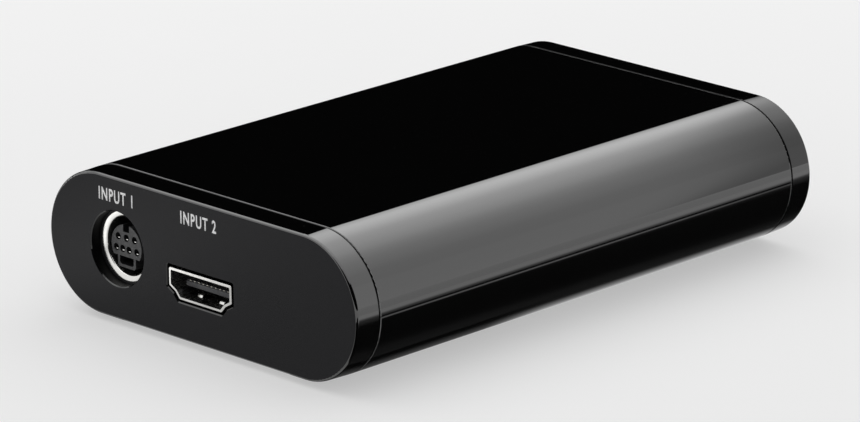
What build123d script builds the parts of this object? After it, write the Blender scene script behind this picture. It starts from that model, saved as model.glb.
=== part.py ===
from build123d import *
import math
import os

os.makedirs("parts", exist_ok=True)

# Lengths are in millimetres. X is the width, +Y runs from the input face to the output face,
# and Z is zero on the surface that the feet stand on.

# Outer walls
body_length = 110.0
body_width = 74.0
body_height = 25.0
case_wall = 2.0
seam_gap = 0.08
seam_edge_radius = 0.25
lap_thickness = 0.9
lap_height = 1.5
fit_clearance = 0.1
overrun = 1.0

# End caps
cap_length = 5.0
cap_draft = 0.15
cap_face_thickness = 2.0
cap_edge_radius = 0.5
spigot_length = 4.0
spigot_wall = 1.5
mouth_chamfer = 0.2
hook_width = 8.0
hook_length = 1.6
hook_height = 0.6
hook_x = 12.0

# Feet and case screws
foot_radius = 4.5
foot_proud = 1.0
foot_recess = 0.8
foot_edge_radius = 0.4
foot_inset = 1.0
boss_radius = 3.25
boss_gap = 0.8
screw_radius = 1.25
screw_length = 9.0
screw_head_radius = 2.3
screw_head_height = 1.7
screw_drive_radius = 1.0
screw_drive_depth = 0.9
screw_hole_clearance = 0.05
screw_tip_gap = 1.0
head_recess = 1.9

# Circuit board
board_thickness = 1.6
board_side_inset = 9.7
board_end_gap = 0.6
board_corner_radius = 1.5
board_hole_clearance = 0.2
board_pass_gap = 0.3
board_post_height = 2.3

# Round audio and video socket
av_place_share = 0.543
av_mouth_radius = 6.5
av_body_width = 14.0
av_body_height = 13.2
av_body_depth = 12.0
av_body_setback = 0.15
av_body_edge = 0.5
av_shield_radius = 4.85
av_shield_sheet = 0.3
av_shield_length = 8.0
av_lip_radius = 6.1
av_lip_depth = 0.7
av_core_radius = 3.7
av_notch_width = 1.5
av_notch_depth = 1.3
av_flat_drop = 1.9
av_key_width = 3.4
av_key_height = 1.45
av_key_wall = 0.5
av_key_chamfer = 0.35
av_key_depth = 5.0
av_pin_radius = 0.38
av_pin_hole_radius = 0.5
av_pin_setback = 1.0
av_pin_reach = 1.0
av_pin_row_step = 1.4
av_upper_row_z = 1.4
av_lower_row_z = -0.6
av_upper_row_x = (-2.0, 0.0, 2.0)
av_lower_row_x = (-2.5, -0.95, 0.6, 2.5)

# Digital video sockets, one at each end
video_width = 15.0
video_height = 5.15
video_side_height = 3.15
video_shoulder_width = 12.0
video_shoulder_height = 4.0
video_base_width = 10.0
video_corner_radius = 0.35
video_depth = 11.0
video_setback = 0.1
video_standoff = 1.225
socket_sheet = 0.35
socket_edge_radius = 0.1
cutout_clearance = 0.45
leg_width = 1.6
leg_reach = 0.6
leg_end_distance = 2.4
video_plug_depth = 3.0
video_foot_depth = 1.6
video_tongue_width = 10.6
video_tongue_thickness = 1.0
video_tongue_drop = 0.1
video_tongue_setback = 2.1
contact_thickness = 0.2
contact_clearance = 0.02
contact_foot = 0.9
contact_tail_gap = 0.3
contact_tail_step = 0.9
video_contact_width = 0.4
video_contact_pitch = 1.0
video_upper_contacts = 10
video_lower_contacts = 9

# Spring fingers of the sockets
finger_width = 1.1
finger_sheet = 0.2
finger_crest_distance = 2.4
finger_length = 3.4
finger_rise = 0.5
finger_tip_drop = 0.15
finger_root_setback = 1.0
finger_root_gap = 0.05
finger_side_gap = 0.15
video_finger_x = 2.6

# Data and power socket
data_place_share = 0.54
data_width = 7.7
data_height = 3.95
data_side_height = 2.4
data_base_width = 6.5
data_corner_radius = 0.35
data_depth = 9.0
data_standoff = 0.15
data_plug_depth = 2.4
data_foot_depth = 1.2
data_tongue_width = 3.9
data_tongue_thickness = 0.8
data_tongue_rise = 0.3
data_tongue_setback = 1.6
data_contact_width = 0.35
data_contact_pitch = 0.8
data_contacts = 5
data_finger_x = 2.2

# Parts on the board
chip_edge = 0.15
encoder_size = 21.0
encoder_thickness = 1.9
receiver_size = 13.0
transmitter_size = 10.0
decoder_size = 10.0
bridge_size = 9.0
chip_thickness = 1.2
memory_length = 11.0
memory_width = 8.0
memory_thickness = 1.0
flash_length = 6.0
flash_width = 5.0
crystal_length = 5.0
crystal_width = 3.2
crystal_thickness = 1.1
inductor_size = 6.0
inductor_thickness = 3.0
inductor_corner = 1.2
regulator_size = 3.0
capacitor_radius = 2.5
capacitor_height = 5.4
capacitor_base = 5.3
capacitor_base_height = 0.8
chip_mark_radius = 0.5
chip_mark_depth = 0.1
small_length = 1.6
small_width = 0.8
small_thickness = 0.7
small_pitch = 2.2
small_gap = 0.8
small_count = 4
regulator_gap = 1.2

# Places that follow from the sizes
z_mid = foot_proud + body_height / 2
inner_width = body_width - 2 * case_wall
inner_height = body_height - 2 * case_wall
ceiling_z = z_mid + inner_height / 2
floor_z = z_mid - inner_height / 2
flat_half_width = (body_width - body_height) / 2
half_length = body_length / 2
seam_y = half_length - cap_length
shell_half_length = seam_y - seam_gap
spigot_width = inner_width - 2 * fit_clearance
spigot_height = inner_height - 2 * fit_clearance
hook_y = seam_y - spigot_length / 2
face_inside_y = half_length - cap_face_thickness

board_under = floor_z + board_post_height
board_top = board_under + board_thickness
board_half_width = body_width / 2 - board_side_inset
board_half_length = face_inside_y - board_end_gap

av_x = -av_place_share * body_width / 2
av_front_y = av_body_setback - face_inside_y
av_rear_y = av_front_y + av_body_depth
av_tail_y = av_rear_y + av_pin_reach
av_tail_end_y = av_tail_y + av_pin_row_step + av_pin_radius

boss_x = flat_half_width - foot_radius - foot_inset
boss_y = -(av_tail_end_y + boss_gap + boss_radius)
boss_places = [(side * boss_x, end * boss_y) for end in (-1, 1) for side in (-1, 1)]
screw_seat_z = foot_proud + foot_recess + head_recess

video_z = board_top + video_standoff + video_height / 2
video_front_y = video_setback - half_length
video_back_y = video_front_y + video_depth
video_tail_y = video_back_y + video_foot_depth + contact_tail_gap + contact_thickness
video_row_end_y = video_tail_y + contact_tail_step + contact_foot
data_x = data_place_share * body_width / 2
data_z = board_top + data_standoff + data_height / 2
data_back_y = video_front_y + data_depth


def prism(section, y_low, y_high):
    """A section drawn in X and Z, made solid from y_low to y_high."""
    plane = Plane((0, y_high, 0), x_dir=(1, 0, 0), z_dir=(0, -1, 0))
    return extrude(plane * section, amount=y_high - y_low)


def block(x_range, y_range, z_range):
    """A box between two values on each axis."""
    spans = [high - low for low, high in (x_range, y_range, z_range)]
    middles = [(low + high) / 2 for low, high in (x_range, y_range, z_range)]
    return Pos(*middles) * Box(*spans)


def around(middle, span):
    """The two ends of a span that is centred on a value."""
    return (middle - span / 2, middle + span / 2)


def post(radius, place, z_range):
    """An upright cylinder between two heights."""
    height = z_range[1] - z_range[0]
    return Pos(place[0], place[1], sum(z_range) / 2) * Cylinder(radius, height)


def bar(radius, x, z, y_range):
    """A cylinder along the length of the box."""
    return prism(Pos(x, z) * Circle(radius), *y_range)


def grouped(solids):
    """Like pieces that share one node."""
    return Compound(children=solids)


def turned(part):
    """The same piece at the other end of the box."""
    return Rot(0, 0, 180) * part


def round_slot(width, height):
    """The cross-section of the case: flat above and below, half round at the sides."""
    return Pos(0, z_mid) * SlotOverall(width, height)


def sideways_band(z_range):
    """A rectangle wider than the case, between two heights."""
    return Pos(0, sum(z_range) / 2) * Rectangle(body_width + overrun, z_range[1] - z_range[0])


def lap_ring(thickness, height):
    """The ring just inside the case wall, from below the side seam up to it."""
    ring = round_slot(inner_width + 2 * thickness, inner_height + 2 * thickness)
    ring -= round_slot(inner_width, inner_height)
    return ring & sideways_band((z_mid - height, z_mid))


def half_blank(up):
    """Half of the case's outside as a solid, with its seam edges rounded. up is 1 or -1."""
    far_z = z_mid + up * (body_height / 2 + overrun)
    section = round_slot(body_width, body_height) & sideways_band(sorted((z_mid, far_z)))
    blank = prism(section, -shell_half_length, shell_half_length)
    long_edges = blank.edges().filter_by(Axis.Y).group_by(Axis.Z)
    side_edges = long_edges[0] if up > 0 else long_edges[-1]
    end_edges = blank.edges().filter_by(Axis.Y, reverse=True)
    end_edges = [edge for edge in end_edges if abs(edge.center().Z - z_mid) > seam_edge_radius]
    return fillet(list(side_edges) + end_edges, seam_edge_radius)


def hook_pockets():
    """The hollows in the shells that the end caps' hooks snap into."""
    pockets = []
    for x in (-hook_x, hook_x):
        for y in (-hook_y, hook_y):
            for z in (floor_z, ceiling_z):
                wide = hook_width + 2 * fit_clearance
                long = hook_length + 2 * fit_clearance
                deep = 2 * (hook_height + fit_clearance)
                pockets.append(Pos(x, y, z) * Box(wide, long, deep))
    return pockets


def upper_shell():
    """Top and upper sides, with a lip inside the seam and posts that press on the board."""
    inside = prism(round_slot(inner_width, inner_height), -half_length, half_length)
    shell = half_blank(1) - inside
    lip = prism(lap_ring(lap_thickness, lap_height), -shell_half_length, shell_half_length)
    shell += lip
    for place in boss_places:
        shell += post(boss_radius, place, (board_top, ceiling_z + case_wall / 2))
    bore = screw_radius + screw_hole_clearance
    for place in boss_places:
        tip_z = screw_seat_z + screw_length + screw_tip_gap
        shell -= post(bore, place, (board_top - overrun, tip_z))
    for pocket in hook_pockets():
        shell -= pocket
    return shell


def lower_shell():
    """Underside and lower sides, with posts under the board, screw seats and foot recesses."""
    inside = prism(round_slot(inner_width, inner_height), -half_length, half_length)
    shell = half_blank(-1) - inside
    rebate = lap_ring(lap_thickness + fit_clearance, lap_height + fit_clearance)
    shell -= prism(rebate, -half_length, half_length)
    for place in boss_places:
        shell += post(boss_radius, place, (floor_z - case_wall / 2, board_under))
    for place in boss_places:
        recess_top = foot_proud + foot_recess
        head_hole = screw_head_radius + fit_clearance
        shank_hole = screw_radius + screw_hole_clearance
        shell -= post(foot_radius + fit_clearance, place, (0, recess_top))
        shell -= post(head_hole, place, (0, screw_seat_z))
        shell -= post(shank_hole, place, (0, board_top))
    for pocket in hook_pockets():
        shell -= pocket
    return shell


def board_passage():
    """The room that the board takes where it runs into an end cap."""
    x_range = around(0, 2 * (board_half_width + board_pass_gap))
    y_range = around(0, 2 * (board_half_length + board_pass_gap))
    z_range = (board_under - board_pass_gap, board_top + board_pass_gap)
    return block(x_range, y_range, z_range)


def cap_blank():
    """An end cap at the input end with no openings: a cup with a stepped spigot and hooks."""
    draft = math.degrees(math.atan(cap_draft / cap_length))
    plane = Plane((0, -seam_y, 0), x_dir=(1, 0, 0), z_dir=(0, -1, 0))
    cap = extrude(plane * round_slot(body_width, body_height), amount=cap_length, taper=draft)
    rims = cap.edges().group_by(Axis.Y)
    cap = fillet(rims[0], cap_edge_radius)
    cap = fillet(cap.edges().group_by(Axis.Y)[-1], seam_edge_radius)
    spigot_end_y = spigot_length - seam_y
    cap += prism(round_slot(spigot_width, spigot_height), -seam_y - overrun, spigot_end_y)
    for x in (-hook_x, hook_x):
        for side in (-1, 1):
            hook_z = z_mid + side * (spigot_height / 2)
            cap += Pos(x, -hook_y, hook_z) * Box(hook_width, hook_length, 2 * hook_height)
    hollow_width = spigot_width - 2 * spigot_wall
    hollow_height = spigot_height - 2 * spigot_wall
    cap -= prism(round_slot(hollow_width, hollow_height), -face_inside_y, spigot_end_y + overrun)
    return cap - board_passage()


def chamfered_mouth(cap, section):
    """A cap with an opening cut through its face, chamfered where it meets the outside."""
    cap -= prism(section, -half_length - overrun, overrun - face_inside_y)
    box = section.bounding_box()
    rim = []
    for edge in cap.edges().group_by(Axis.Y)[0]:
        middle = edge.center()
        if box.min.X - mouth_chamfer < middle.X < box.max.X + mouth_chamfer:
            if box.min.Y - mouth_chamfer < middle.Z < box.max.Y + mouth_chamfer:
                rim.append(edge)
    return chamfer(rim, mouth_chamfer)


def front_end_cap():
    """The input end: the round socket's mouth and the digital video socket's cut-out."""
    cap = chamfered_mouth(cap_blank(), Pos(av_x, z_mid) * Circle(av_mouth_radius))
    return chamfered_mouth(cap, video_outline(cutout_clearance))


def rear_end_cap():
    """The output end: cut-outs for the video output and for the data socket."""
    cap = chamfered_mouth(cap_blank(), video_outline(cutout_clearance))
    cap = chamfered_mouth(cap, data_outline(cutout_clearance))
    return turned(cap)


def foot(place):
    """A rubber foot in its recess, with a soft lower edge."""
    disc = post(foot_radius, place, (0, foot_proud + foot_recess))
    return fillet(disc.edges().group_by(Axis.Z)[0], foot_edge_radius)


def case_screws():
    """The four screws that clamp the shells and the board, under the feet."""
    screws = []
    for place in boss_places:
        head = post(screw_head_radius, place, (screw_seat_z - screw_head_height, screw_seat_z))
        shank = post(screw_radius, place, (screw_seat_z - overrun, screw_seat_z + screw_length))
        low_z = screw_seat_z - screw_head_height
        drive = post(screw_drive_radius, place, (low_z, low_z + screw_drive_depth))
        slots = Pos(*place, low_z + screw_drive_depth / 2)
        cross = Box(2 * screw_drive_radius, screw_drive_radius / 2, screw_drive_depth)
        drive &= slots * (cross + Rot(0, 0, 90) * cross)
        screws.append(head + shank - drive)
    return grouped(screws)


def main_board():
    """The circuit board, with holes for the case screws, slots for legs and room for the shield."""
    outline = RectangleRounded(2 * board_half_width, 2 * board_half_length, board_corner_radius)
    board = extrude(Pos(0, 0, board_under) * outline, amount=board_thickness)
    for place in boss_places:
        hole = screw_radius + board_hole_clearance
        board -= post(hole, place, (board_under - overrun, board_top + overrun))
    for leg in video_legs(board_hole_clearance) + data_legs(board_hole_clearance):
        board -= leg
    for leg in video_legs(board_hole_clearance):
        board -= turned(leg)
    return board - av_revolved(av_shield_profile(board_hole_clearance))


def av_revolved(profile):
    """A closed outline of (radius, y) points, spun round the round socket's axis."""
    plane = Plane((av_x, 0, z_mid), x_dir=(1, 0, 0), z_dir=(0, 0, 1))
    face = make_face(Polyline(*profile, close=True))
    return revolve(plane * face, axis=Axis((av_x, 0, z_mid), (0, 1, 0)))


def av_shield_profile(clearance):
    """Outline of the flared metal shield; with a clearance, of the solid hole that it fits."""
    outer = av_shield_radius + av_shield_sheet + clearance
    lip_outer = av_lip_radius + clearance
    throat_y = av_front_y + av_lip_depth
    end_y = throat_y + av_shield_length + clearance
    back = [(outer, end_y), (outer, throat_y + av_shield_sheet)]
    back.append((lip_outer, av_front_y + av_shield_sheet))
    if clearance > 0:
        return back + [(lip_outer, av_front_y - overrun), (0, av_front_y - overrun), (0, end_y)]
    front = [(lip_outer, av_front_y), (av_shield_radius, throat_y), (av_shield_radius, end_y)]
    return back + front


def av_socket_housing():
    """The moulded block that stands on the board and holds the round socket together."""
    x_range = around(av_x, av_body_width)
    body = block(x_range, (av_front_y, av_rear_y), (board_top, z_mid + av_body_height / 2))
    body = fillet(body.edges().filter_by(Axis.Y), av_body_edge)
    body -= av_revolved(av_shield_profile(contact_clearance))
    return body - bar(av_core_radius + contact_clearance, av_x, z_mid, (av_front_y, av_rear_y + overrun))


def av_socket_shield():
    """The plated metal shield, with its flared lip in front."""
    return av_revolved(av_shield_profile(0))


def av_pin_places():
    """The X and Z of every contact of the round socket, with its row's number."""
    upper = [(av_x + x, z_mid + av_upper_row_z, 1) for x in av_upper_row_x]
    lower = [(av_x + x, z_mid + av_lower_row_z, 0) for x in av_lower_row_x]
    return upper + lower


def av_socket_core():
    """The insulator: pin holes, a notch above, and a walled key slot under a flat."""
    core = bar(av_core_radius, av_x, z_mid, (av_front_y, av_rear_y))
    mouth_y = (av_front_y - overrun, av_front_y + av_key_depth)
    notch_z = (z_mid + av_core_radius - av_notch_depth, z_mid + av_core_radius + overrun)
    core -= block(around(av_x, av_notch_width), mouth_y, notch_z)
    flat_z = z_mid - av_flat_drop
    core -= block(around(av_x, 2 * av_core_radius), mouth_y, (flat_z - av_core_radius, flat_z))
    wall_height = av_key_height + av_key_wall
    wall_box = Rectangle(av_key_width + 2 * av_key_wall, wall_height)
    wall_box = chamfer(wall_box.vertices().group_by(Axis.Y)[0], av_key_chamfer)
    wall_section = Pos(av_x, flat_z - wall_height / 2) * wall_box
    core += prism(wall_section, av_front_y, av_front_y + av_key_depth + overrun)
    slot_box = Rectangle(av_key_width, av_key_height)
    slot_box = chamfer(slot_box.vertices().group_by(Axis.Y)[0], av_key_chamfer)
    slot_section = Pos(av_x, flat_z - av_key_height / 2) * slot_box
    core -= prism(slot_section, *mouth_y)
    for x, z, row in av_pin_places():
        core -= bar(av_pin_hole_radius, x, z, (av_front_y - overrun, av_rear_y + overrun))
    return core


def av_socket_contacts():
    """Seven sleeves in the core, each with a tail that turns down to the board."""
    pins = []
    for x, z, row in av_pin_places():
        end_y = av_tail_y + row * av_pin_row_step
        sleeve = bar(av_pin_radius, x, z, (av_front_y + av_pin_setback, end_y))
        tail = post(av_pin_radius, (x, end_y), (board_top, z))
        pins.append(sleeve + Pos(x, end_y, z) * Sphere(av_pin_radius) + tail)
    return grouped(pins)


def socket_outline(half_points, corner_radius, grow):
    """A socket's outline from the points of its right half, grown evenly, its corners rounded."""
    left = [(-x, z) for x, z in reversed(half_points)]
    face = make_face(Polyline(*half_points, *left, close=True))
    if grow:
        face = offset(face, grow, kind=Kind.INTERSECTION)
    return fillet(face.vertices(), corner_radius)


def video_outline(grow):
    """Outside of a digital video socket: wide above, stepped in at the lower corners."""
    top = video_height / 2
    half_points = [
        (video_width / 2, top),
        (video_width / 2, top - video_side_height),
        (video_shoulder_width / 2, top - video_shoulder_height),
        (video_base_width / 2, -top),
    ]
    return Pos(0, video_z) * socket_outline(half_points, video_corner_radius, grow)


def data_outline(grow):
    """Outside of the data socket, placed at the input end: wide above, narrower at its base."""
    top = data_height / 2
    half_points = [
        (data_width / 2, top),
        (data_width / 2, top - data_side_height),
        (data_base_width / 2, -top),
    ]
    return Pos(-data_x, data_z) * socket_outline(half_points, data_corner_radius, grow)


def socket_legs(centre_x, width, low_z, back_y, clearance):
    """Tabs at a socket's sides that run down through the board, two on each side."""
    sheet = socket_sheet + 2 * clearance
    long = leg_width + 2 * clearance
    z_range = (board_under - leg_reach, low_z)
    legs = []
    for side in (-1, 1):
        for end_y in (video_front_y + board_end_gap + 2 * leg_end_distance, back_y - leg_end_distance):
            x = centre_x + side * (width - socket_sheet) / 2
            legs.append(block(around(x, sheet), around(end_y, long), z_range))
    return legs


def video_legs(clearance):
    """The legs of the video socket at the input end."""
    low_z = video_z + video_height / 2 - video_side_height + leg_reach
    return socket_legs(0, video_width, low_z, video_back_y, clearance)


def data_legs(clearance):
    """The legs of the data socket, at its own end of the board."""
    low_z = data_z + data_height / 2 - data_side_height + leg_reach
    return [turned(leg) for leg in socket_legs(-data_x, data_width, low_z, data_back_y, clearance)]


def socket_tube(outline, back_y):
    """A folded sheet-metal tube with softened front edges. outline gives the section."""
    section = outline(0) - outline(-socket_sheet)
    tube = prism(section, video_front_y, back_y)
    return fillet(tube.edges().group_by(Axis.Y)[0], socket_edge_radius)


def finger_window(x, wall_z):
    """The window in a socket's wall round one spring finger."""
    long = finger_length + 2 * finger_side_gap
    y_low = video_front_y + finger_root_setback - finger_root_gap
    z_range = around(wall_z, 2 * socket_sheet)
    return block(around(x, finger_width + 2 * finger_side_gap), (y_low, y_low + long), z_range)


def spring_finger(x, wall_z, inward):
    """A sprung tab, bent from its root into the socket. inward is 1 for up, -1 for down."""
    root_y = video_front_y + finger_root_setback
    half = finger_sheet / 2
    crest = (root_y + finger_crest_distance, wall_z + inward * finger_rise)
    tip = (root_y + finger_length, wall_z + inward * (finger_rise - finger_tip_drop))
    path = [(root_y, wall_z), crest, tip]
    outside = [(y, z - half) for y, z in path]
    inside = [(y, z + half) for y, z in reversed(path)]
    face = make_face(Polyline(*outside, *inside, close=True))
    plane = Plane((x - finger_width / 2, 0, 0), x_dir=(0, 1, 0), z_dir=(1, 0, 0))
    return extrude(plane * face, amount=finger_width)


def video_fingers():
    """The four spring fingers of a video socket at the input end, by name."""
    lower_z = video_z - (video_height - socket_sheet) / 2
    upper_z = video_z + (video_height - socket_sheet) / 2
    fingers = {}
    for side_name, side in (("left", -1), ("right", 1)):
        x = side * video_finger_x
        fingers["lower_" + side_name] = (x, lower_z, 1)
        fingers["upper_" + side_name] = (x, upper_z, -1)
    return fingers


def data_fingers():
    """The two spring fingers above the data socket's mouth, by name, placed at the input end."""
    upper_z = data_z + (data_height - socket_sheet) / 2
    left = (-data_x - data_finger_x, upper_z, -1)
    right = (-data_x + data_finger_x, upper_z, -1)
    return {"upper_left": left, "upper_right": right}


def video_shell():
    """The plated metal shell of a video socket."""
    shell = socket_tube(video_outline, video_back_y)
    for x, wall_z, inward in video_fingers().values():
        shell -= finger_window(x, wall_z)
    for leg in video_legs(0):
        shell += leg
    return shell


def data_shell():
    """The plated metal shell of the data socket, built at the input end."""
    shell = socket_tube(data_outline, data_back_y)
    for x, wall_z, inward in data_fingers().values():
        shell -= finger_window(x, wall_z)
    for leg in data_legs(0):
        shell += turned(leg)
    return shell


def contact_strip(x, width, z_range, y_range, grow):
    """One contact: a strip along the tongue, a tail down behind it and a foot on the board."""
    x_range = around(x, width + 2 * grow)
    strip_z = (z_range[0] - grow, z_range[1] + grow)
    strip = block(x_range, (y_range[0], y_range[1]), strip_z)
    if grow > 0:
        return strip
    tail_y = (y_range[1] - contact_thickness, y_range[1])
    tail = block(x_range, tail_y, (board_top, z_range[1]))
    foot_y = (y_range[1] - contact_thickness, y_range[1] + contact_foot)
    pad = block(x_range, foot_y, (board_top, board_top + contact_thickness))
    return strip + tail + pad


def contact_row(centre_x, count, strip, z_range, y_range, grow):
    """A row of like contacts, side by side. strip gives their pitch and width."""
    pitch, width = strip
    places = [centre_x + (step - (count - 1) / 2) * pitch for step in range(count)]
    return [contact_strip(x, width, z_range, y_range, grow) for x in places]


def video_contact_solids(grow):
    """Upper and lower rows of a video socket's contacts."""
    middle = video_z - video_tongue_drop
    half = video_tongue_thickness / 2
    front_y = video_front_y + video_tongue_setback
    upper_z = (middle + half - contact_thickness, middle + half)
    lower_z = (middle - half, middle - half + contact_thickness)
    strip = (video_contact_pitch, video_contact_width)
    upper = contact_row(0, video_upper_contacts, strip, upper_z, (front_y, video_row_end_y), grow)
    lower = contact_row(0, video_lower_contacts, strip, lower_z, (front_y, video_tail_y), grow)
    return upper + lower


def video_insulator():
    """The moulded core of a video socket: its tongue, the plug in the shell and a foot behind."""
    middle = video_z - video_tongue_drop
    plug_y = video_back_y - video_plug_depth
    plug = prism(video_outline(-socket_sheet - contact_clearance), plug_y, video_back_y)
    tongue_y = (video_front_y + video_tongue_setback, video_back_y)
    tongue = block(around(0, video_tongue_width), tongue_y, around(middle, video_tongue_thickness))
    foot_y = (video_back_y, video_back_y + video_foot_depth)
    base = block(around(0, video_shoulder_width), foot_y, (board_top, video_z + video_height / 2))
    insulator = plug + tongue + base
    for contact in video_contact_solids(contact_clearance):
        insulator -= contact
    return insulator


def data_contact_solids(grow):
    """The data socket's single row of contacts, placed at the input end."""
    middle = data_z + data_tongue_rise
    low_z = middle - data_tongue_thickness / 2
    tail_y = data_back_y + data_foot_depth + contact_tail_gap + contact_thickness
    y_range = (video_front_y + data_tongue_setback, tail_y)
    z_range = (low_z, low_z + contact_thickness)
    strip = (data_contact_pitch, data_contact_width)
    return contact_row(-data_x, data_contacts, strip, z_range, y_range, grow)


def data_insulator():
    """The moulded core of the data socket, built at the input end."""
    middle = data_z + data_tongue_rise
    plug_y = data_back_y - data_plug_depth
    plug = prism(data_outline(-socket_sheet - contact_clearance), plug_y, data_back_y)
    tongue_y = (video_front_y + data_tongue_setback, data_back_y)
    tongue = block(around(-data_x, data_tongue_width), tongue_y, around(middle, data_tongue_thickness))
    foot_y = (data_back_y, data_back_y + data_foot_depth)
    base = block(around(-data_x, data_base_width), foot_y, (board_top, data_z + data_height / 2))
    insulator = plug + tongue + base
    for contact in data_contact_solids(contact_clearance):
        insulator -= contact
    return insulator


def chip(place, length, width, thickness):
    """A moulded chip package with a dimple in its first corner."""
    x, y = place
    body = block(around(x, length), around(y, width), (board_top, board_top + thickness))
    body = chamfer(body.faces().sort_by(Axis.Z)[-1].edges(), chip_edge)
    mark_x = x - length / 2 + 2 * chip_mark_radius
    mark_y = y + width / 2 - 2 * chip_mark_radius
    top_z = board_top + thickness
    return body - post(chip_mark_radius, (mark_x, mark_y), (top_z - chip_mark_depth, top_z))


def square_chip(place, size):
    """A chip package as long as it is wide."""
    return chip(place, size, size, chip_thickness)


def crystal(place):
    """A metal-cased clock crystal."""
    z_range = (board_top, board_top + crystal_thickness)
    body = block(around(place[0], crystal_length), around(place[1], crystal_width), z_range)
    return fillet(body.edges().filter_by(Axis.Z), chip_mark_radius)


def inductor(place):
    """A moulded power inductor with cut corners, in front of its regulator."""
    y = place[1] - (supply_length - inductor_size) / 2
    z_range = (board_top, board_top + inductor_thickness)
    body = block(around(place[0], inductor_size), around(y, inductor_size), z_range)
    return chamfer(body.edges().filter_by(Axis.Z), inductor_corner)


def regulator(place):
    """The small switching regulator behind its inductor."""
    y = place[1] + (supply_length - regulator_size) / 2
    z_range = (board_top, board_top + chip_thickness)
    return block(around(place[0], regulator_size), around(y, regulator_size), z_range)


def capacitor(place):
    """A can capacitor on its square base."""
    base_top = board_top + capacitor_base_height
    x_range = around(place[0], capacitor_base)
    y_range = around(place[1], capacitor_base)
    base = block(x_range, y_range, (board_top, base_top))
    can = post(capacitor_radius, place, (base_top, board_top + capacitor_height))
    can = fillet(can.edges().group_by(Axis.Z)[-1], chip_mark_radius)
    return base + can


def small_parts(places, sizes, side):
    """A row of small chip resistors or capacitors along one side of each package."""
    parts = []
    for (x, y), size in zip(places, sizes):
        row_y = y + side * (size / 2 + small_gap + small_length / 2)
        for step in range(small_count):
            place_x = x + (step - (small_count - 1) / 2) * small_pitch
            z_range = (board_top, board_top + small_thickness)
            parts.append(block(around(place_x, small_width), around(row_y, small_length), z_range))
    return grouped(parts)


def spread(sizes, low, high):
    """Middles of pieces of these sizes, shared out evenly between two values."""
    free = (high - low - sum(sizes)) / (len(sizes) + 1)
    middles = []
    edge = low
    for size in sizes:
        middles.append(edge + free + size / 2)
        edge += free + size
    return middles


# Three lanes of parts along the board: left, middle and right
lane_widths = (decoder_size, encoder_size, memory_length)
left_x, middle_x, right_x = spread(lane_widths, -board_half_width, board_half_width)

fringe = 2 * (small_gap + small_length)
supply_length = inductor_size + regulator_gap + regulator_size
middle_lengths = (receiver_size + fringe, encoder_size + fringe, transmitter_size + fringe)
middle_end_y = -video_row_end_y - contact_foot
receiver_y, encoder_y, transmitter_y = spread(middle_lengths, -middle_end_y, middle_end_y)

side_end_y = boss_y - boss_radius
left_lengths = (decoder_size + fringe, supply_length, supply_length)
decoder_y, left_supply_y, rear_supply_y = spread(left_lengths, -side_end_y, side_end_y)
right_lengths = (supply_length, memory_width, memory_width, bridge_size)
right_middles = spread(right_lengths, -side_end_y, side_end_y)
right_supply_y, front_memory_y, rear_memory_y, bridge_y = right_middles

receiver_place = (middle_x, receiver_y)
encoder_place = (middle_x, encoder_y)
transmitter_place = (middle_x, transmitter_y)
decoder_place = (left_x, decoder_y)
memory_places = ((right_x, front_memory_y), (right_x, rear_memory_y))
supply_places = ((left_x, left_supply_y), (left_x, rear_supply_y), (right_x, right_supply_y))

# Two rows in the corners beyond the posts: rear left and front right
corner_range = (video_width / 2, board_half_width)
corner_y = (boss_y + boss_radius, board_half_length)
can_row_y, flash_row_y = spread((capacitor_base, flash_width), *corner_y)
inner_can_x, outer_can_x = spread((capacitor_base, capacitor_base), *corner_range)
flash_x, timer_x = spread((flash_length, crystal_length), *corner_range)
capacitor_places = ((-inner_can_x, can_row_y), (-outer_can_x, can_row_y), (outer_can_x, -can_row_y))
crystal_places = ((inner_can_x, -can_row_y), (timer_x, -flash_row_y), (-timer_x, flash_row_y))
flash_place = (-flash_x, flash_row_y)

nodes = {
    "upper_shell": upper_shell(),
    "lower_shell": lower_shell(),
    "front_end_cap": front_end_cap(),
    "rear_end_cap": rear_end_cap(),
    "case_screws": case_screws(),
    "main_board": main_board(),
    "av_socket_housing": av_socket_housing(),
    "av_socket_shield": av_socket_shield(),
    "av_socket_core": av_socket_core(),
    "av_socket_contacts": av_socket_contacts(),
    "video_in_shell": video_shell(),
    "video_in_insulator": video_insulator(),
    "video_in_contacts": grouped(video_contact_solids(0)),
    "video_out_shell": turned(video_shell()),
    "video_out_insulator": turned(video_insulator()),
    "video_out_contacts": turned(grouped(video_contact_solids(0))),
    "data_socket_shell": turned(data_shell()),
    "data_socket_insulator": turned(data_insulator()),
    "data_socket_contacts": turned(grouped(data_contact_solids(0))),
    "encoder_chip": chip(encoder_place, encoder_size, encoder_size, encoder_thickness),
    "video_receiver_chip": square_chip(receiver_place, receiver_size),
    "video_transmitter_chip": square_chip(transmitter_place, transmitter_size),
    "analog_decoder_chip": square_chip(decoder_place, decoder_size),
    "data_bridge_chip": square_chip((right_x, bridge_y), bridge_size),
    "flash_chip": chip(flash_place, flash_length, flash_width, chip_thickness),
}

foot_names = ("foot_front_left", "foot_front_right", "foot_rear_left", "foot_rear_right")
for name, place in zip(foot_names, boss_places):
    nodes[name] = foot(place)

for name, sizes in video_fingers().items():
    nodes["video_in_finger_" + name] = spring_finger(*sizes)
    nodes["video_out_finger_" + name] = turned(spring_finger(*sizes))
for name, sizes in data_fingers().items():
    nodes["data_socket_finger_" + name] = turned(spring_finger(*sizes))

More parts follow.
